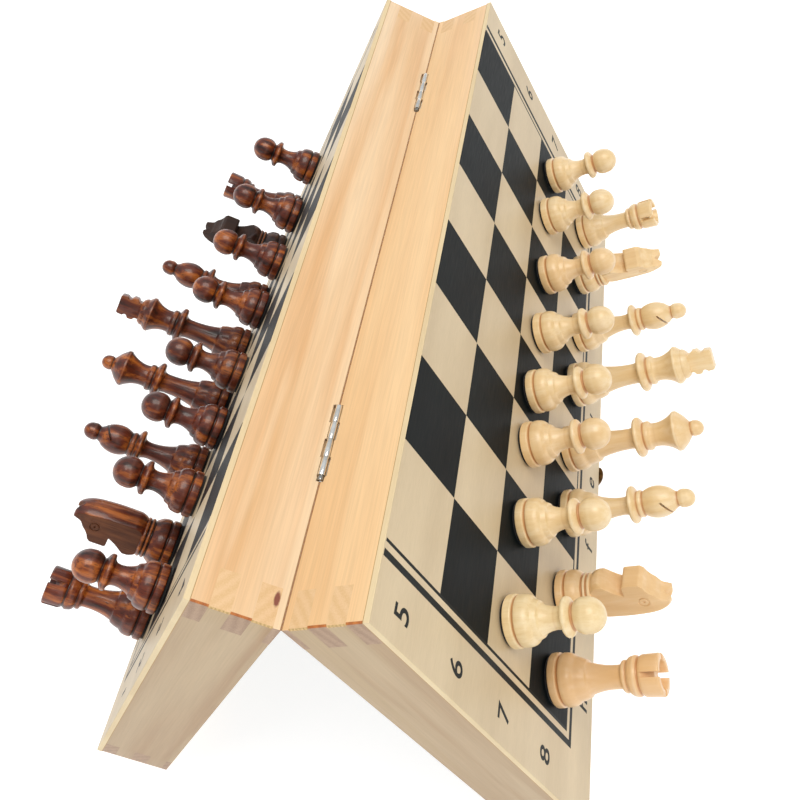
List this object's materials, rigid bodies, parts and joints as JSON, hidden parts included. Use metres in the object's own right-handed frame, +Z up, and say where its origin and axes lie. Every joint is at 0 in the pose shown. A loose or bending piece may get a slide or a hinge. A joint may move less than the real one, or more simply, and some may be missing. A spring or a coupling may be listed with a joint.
{
  "type": "folding magnetic chess set",
  "caption": "Folding wooden chess box standing as a tent, playing faces outward, with turned magnetic men on both faces, nickel hinges and a swing-hook latch.",
  "frame": {"origin": "on the surface the tent stands on, straight under the middle of the hinge line, at the centre of the base of the bounding box", "axes": "+Z up; the hinge line runs along Y with the h-file end towards -Y; the half with the light men is on +X and the half with the dark men on -X"},
  "size_m": [0.2604, 0.3, 0.1467],
  "materials": {
    "pine_rails": "satin clear lacquer over pine",
    "printed_panel": "satin clear lacquer over basswood with printed squares",
    "steel": "plain rolled sheet",
    "felt_green": "short-pile felt",
    "nickel": "polished nickel plate",
    "bronze": "dark antique bronze",
    "natural_wood": "satin clear lacquer",
    "stained_wood": "glossy lacquer over reddish-brown stain"
  },
  "bodies": {
    "dark_half": {"hinge_rail_dark": "pine_rails", "front_rail_dark": "pine_rails", "near_end_rail_dark": "pine_rails", "far_end_rail_dark": "pine_rails", "playing_panel_dark": "printed_panel", "steel_sheet_dark": "steel", "felt_lining_dark": "felt_green", "near_hinge_leaf_dark": "nickel", "far_hinge_leaf_dark": "nickel", "hinge_screws_dark": "nickel", "near_hinge_pin": "nickel", "far_hinge_pin": "nickel", "catch_rosette": "bronze", "catch_post": "bronze"},
    "light_half": {"hinge_rail_light": "pine_rails", "front_rail_light": "pine_rails", "near_end_rail_light": "pine_rails", "far_end_rail_light": "pine_rails", "playing_panel_light": "printed_panel", "steel_sheet_light": "steel", "felt_lining_light": "felt_green", "near_hinge_leaf_light": "nickel", "far_hinge_leaf_light": "nickel", "hinge_screws_light": "nickel", "latch_rosette": "bronze", "latch_rivet": "bronze"},
    "hook": {"latch_hook": "bronze"},
    "light_rook_h": {"light_rook_h": "natural_wood"},
    "light_knight_g": {"light_knight_g": "natural_wood"},
    "light_bishop_f": {"light_bishop_f": "natural_wood"},
    "light_queen_e": {"light_queen_e": "natural_wood"},
    "light_king_d": {"light_king_d": "natural_wood"},
    "light_bishop_c": {"light_bishop_c": "natural_wood"},
    "light_knight_b": {"light_knight_b": "natural_wood"},
    "light_rook_a": {"light_rook_a": "natural_wood"},
    "light_pawn_h": {"light_pawn_h": "natural_wood"},
    "light_pawn_g": {"light_pawn_g": "natural_wood"},
    "light_pawn_f": {"light_pawn_f": "natural_wood"},
    "light_pawn_e": {"light_pawn_e": "natural_wood"},
    "light_pawn_d": {"light_pawn_d": "natural_wood"},
    "light_pawn_c": {"light_pawn_c": "natural_wood"},
    "light_pawn_b": {"light_pawn_b": "natural_wood"},
    "light_pawn_a": {"light_pawn_a": "natural_wood"},
    "dark_rook_h": {"dark_rook_h": "stained_wood"},
    "dark_knight_g": {"dark_knight_g": "stained_wood"},
    "dark_bishop_f": {"dark_bishop_f": "stained_wood"},
    "dark_queen_e": {"dark_queen_e": "stained_wood"},
    "dark_king_d": {"dark_king_d": "stained_wood"},
    "dark_bishop_c": {"dark_bishop_c": "stained_wood"},
    "dark_knight_b": {"dark_knight_b": "stained_wood"},
    "dark_rook_a": {"dark_rook_a": "stained_wood"},
    "dark_pawn_h": {"dark_pawn_h": "stained_wood"},
    "dark_pawn_g": {"dark_pawn_g": "stained_wood"},
    "dark_pawn_f": {"dark_pawn_f": "stained_wood"},
    "dark_pawn_e": {"dark_pawn_e": "stained_wood"},
    "dark_pawn_d": {"dark_pawn_d": "stained_wood"},
    "dark_pawn_c": {"dark_pawn_c": "stained_wood"},
    "dark_pawn_b": {"dark_pawn_b": "stained_wood"},
    "dark_pawn_a": {"dark_pawn_a": "stained_wood"}
  },
  "joints": [
    {"name": "board_fold", "type": "hinge", "parent": "dark_half", "child": "light_half", "pos_m": [0, 0, 0.13534], "axis": [0, -1, 0], "range_deg": [-51, 129]},
    {"name": "latch_swing", "type": "hinge", "parent": "light_half", "child": "hook", "pos_m": [0.0725, 0, 0.00263], "axis": [0.4305, 0, -0.9026], "range_deg": [0, 150]},
    {"name": "light_rook_h_lift", "type": "slide", "parent": "light_half", "child": "light_rook_h", "axis": [0.9026, 0, 0.4305], "range_m": [0, 0.08]},
    {"name": "light_knight_g_lift", "type": "slide", "parent": "light_half", "child": "light_knight_g", "axis": [0.9026, 0, 0.4305], "range_m": [0, 0.08]},
    {"name": "light_bishop_f_lift", "type": "slide", "parent": "light_half", "child": "light_bishop_f", "axis": [0.9026, 0, 0.4305], "range_m": [0, 0.08]},
    {"name": "light_queen_e_lift", "type": "slide", "parent": "light_half", "child": "light_queen_e", "axis": [0.9026, 0, 0.4305], "range_m": [0, 0.08]},
    {"name": "light_king_d_lift", "type": "slide", "parent": "light_half", "child": "light_king_d", "axis": [0.9026, 0, 0.4305], "range_m": [0, 0.08]},
    {"name": "light_bishop_c_lift", "type": "slide", "parent": "light_half", "child": "light_bishop_c", "axis": [0.9026, 0, 0.4305], "range_m": [0, 0.08]},
    {"name": "light_knight_b_lift", "type": "slide", "parent": "light_half", "child": "light_knight_b", "axis": [0.9026, 0, 0.4305], "range_m": [0, 0.08]},
    {"name": "light_rook_a_lift", "type": "slide", "parent": "light_half", "child": "light_rook_a", "axis": [0.9026, 0, 0.4305], "range_m": [0, 0.08]},
    {"name": "light_pawn_h_lift", "type": "slide", "parent": "light_half", "child": "light_pawn_h", "axis": [0.9026, 0, 0.4305], "range_m": [0, 0.08]},
    {"name": "light_pawn_g_lift", "type": "slide", "parent": "light_half", "child": "light_pawn_g", "axis": [0.9026, 0, 0.4305], "range_m": [0, 0.08]},
    {"name": "light_pawn_f_lift", "type": "slide", "parent": "light_half", "child": "light_pawn_f", "axis": [0.9026, 0, 0.4305], "range_m": [0, 0.08]},
    {"name": "light_pawn_e_lift", "type": "slide", "parent": "light_half", "child": "light_pawn_e", "axis": [0.9026, 0, 0.4305], "range_m": [0, 0.08]},
    {"name": "light_pawn_d_lift", "type": "slide", "parent": "light_half", "child": "light_pawn_d", "axis": [0.9026, 0, 0.4305], "range_m": [0, 0.08]},
    {"name": "light_pawn_c_lift", "type": "slide", "parent": "light_half", "child": "light_pawn_c", "axis": [0.9026, 0, 0.4305], "range_m": [0, 0.08]},
    {"name": "light_pawn_b_lift", "type": "slide", "parent": "light_half", "child": "light_pawn_b", "axis": [0.9026, 0, 0.4305], "range_m": [0, 0.08]},
    {"name": "light_pawn_a_lift", "type": "slide", "parent": "light_half", "child": "light_pawn_a", "axis": [0.9026, 0, 0.4305], "range_m": [0, 0.08]},
    {"name": "dark_rook_h_lift", "type": "slide", "parent": "dark_half", "child": "dark_rook_h", "axis": [-0.9026, 0, 0.4305], "range_m": [0, 0.08]},
    {"name": "dark_knight_g_lift", "type": "slide", "parent": "dark_half", "child": "dark_knight_g", "axis": [-0.9026, 0, 0.4305], "range_m": [0, 0.08]},
    {"name": "dark_bishop_f_lift", "type": "slide", "parent": "dark_half", "child": "dark_bishop_f", "axis": [-0.9026, 0, 0.4305], "range_m": [0, 0.08]},
    {"name": "dark_queen_e_lift", "type": "slide", "parent": "dark_half", "child": "dark_queen_e", "axis": [-0.9026, 0, 0.4305], "range_m": [0, 0.08]},
    {"name": "dark_king_d_lift", "type": "slide", "parent": "dark_half", "child": "dark_king_d", "axis": [-0.9026, 0, 0.4305], "range_m": [0, 0.08]},
    {"name": "dark_bishop_c_lift", "type": "slide", "parent": "dark_half", "child": "dark_bishop_c", "axis": [-0.9026, 0, 0.4305], "range_m": [0, 0.08]},
    {"name": "dark_knight_b_lift", "type": "slide", "parent": "dark_half", "child": "dark_knight_b", "axis": [-0.9026, 0, 0.4305], "range_m": [0, 0.08]},
    {"name": "dark_rook_a_lift", "type": "slide", "parent": "dark_half", "child": "dark_rook_a", "axis": [-0.9026, 0, 0.4305], "range_m": [0, 0.08]},
    {"name": "dark_pawn_h_lift", "type": "slide", "parent": "dark_half", "child": "dark_pawn_h", "axis": [-0.9026, 0, 0.4305], "range_m": [0, 0.08]},
    {"name": "dark_pawn_g_lift", "type": "slide", "parent": "dark_half", "child": "dark_pawn_g", "axis": [-0.9026, 0, 0.4305], "range_m": [0, 0.08]},
    {"name": "dark_pawn_f_lift", "type": "slide", "parent": "dark_half", "child": "dark_pawn_f", "axis": [-0.9026, 0, 0.4305], "range_m": [0, 0.08]},
    {"name": "dark_pawn_e_lift", "type": "slide", "parent": "dark_half", "child": "dark_pawn_e", "axis": [-0.9026, 0, 0.4305], "range_m": [0, 0.08]},
    {"name": "dark_pawn_d_lift", "type": "slide", "parent": "dark_half", "child": "dark_pawn_d", "axis": [-0.9026, 0, 0.4305], "range_m": [0, 0.08]},
    {"name": "dark_pawn_c_lift", "type": "slide", "parent": "dark_half", "child": "dark_pawn_c", "axis": [-0.9026, 0, 0.4305], "range_m": [0, 0.08]},
    {"name": "dark_pawn_b_lift", "type": "slide", "parent": "dark_half", "child": "dark_pawn_b", "axis": [-0.9026, 0, 0.4305], "range_m": [0, 0.08]},
    {"name": "dark_pawn_a_lift", "type": "slide", "parent": "dark_half", "child": "dark_pawn_a", "axis": [-0.9026, 0, 0.4305], "range_m": [0, 0.08]}
  ]
}
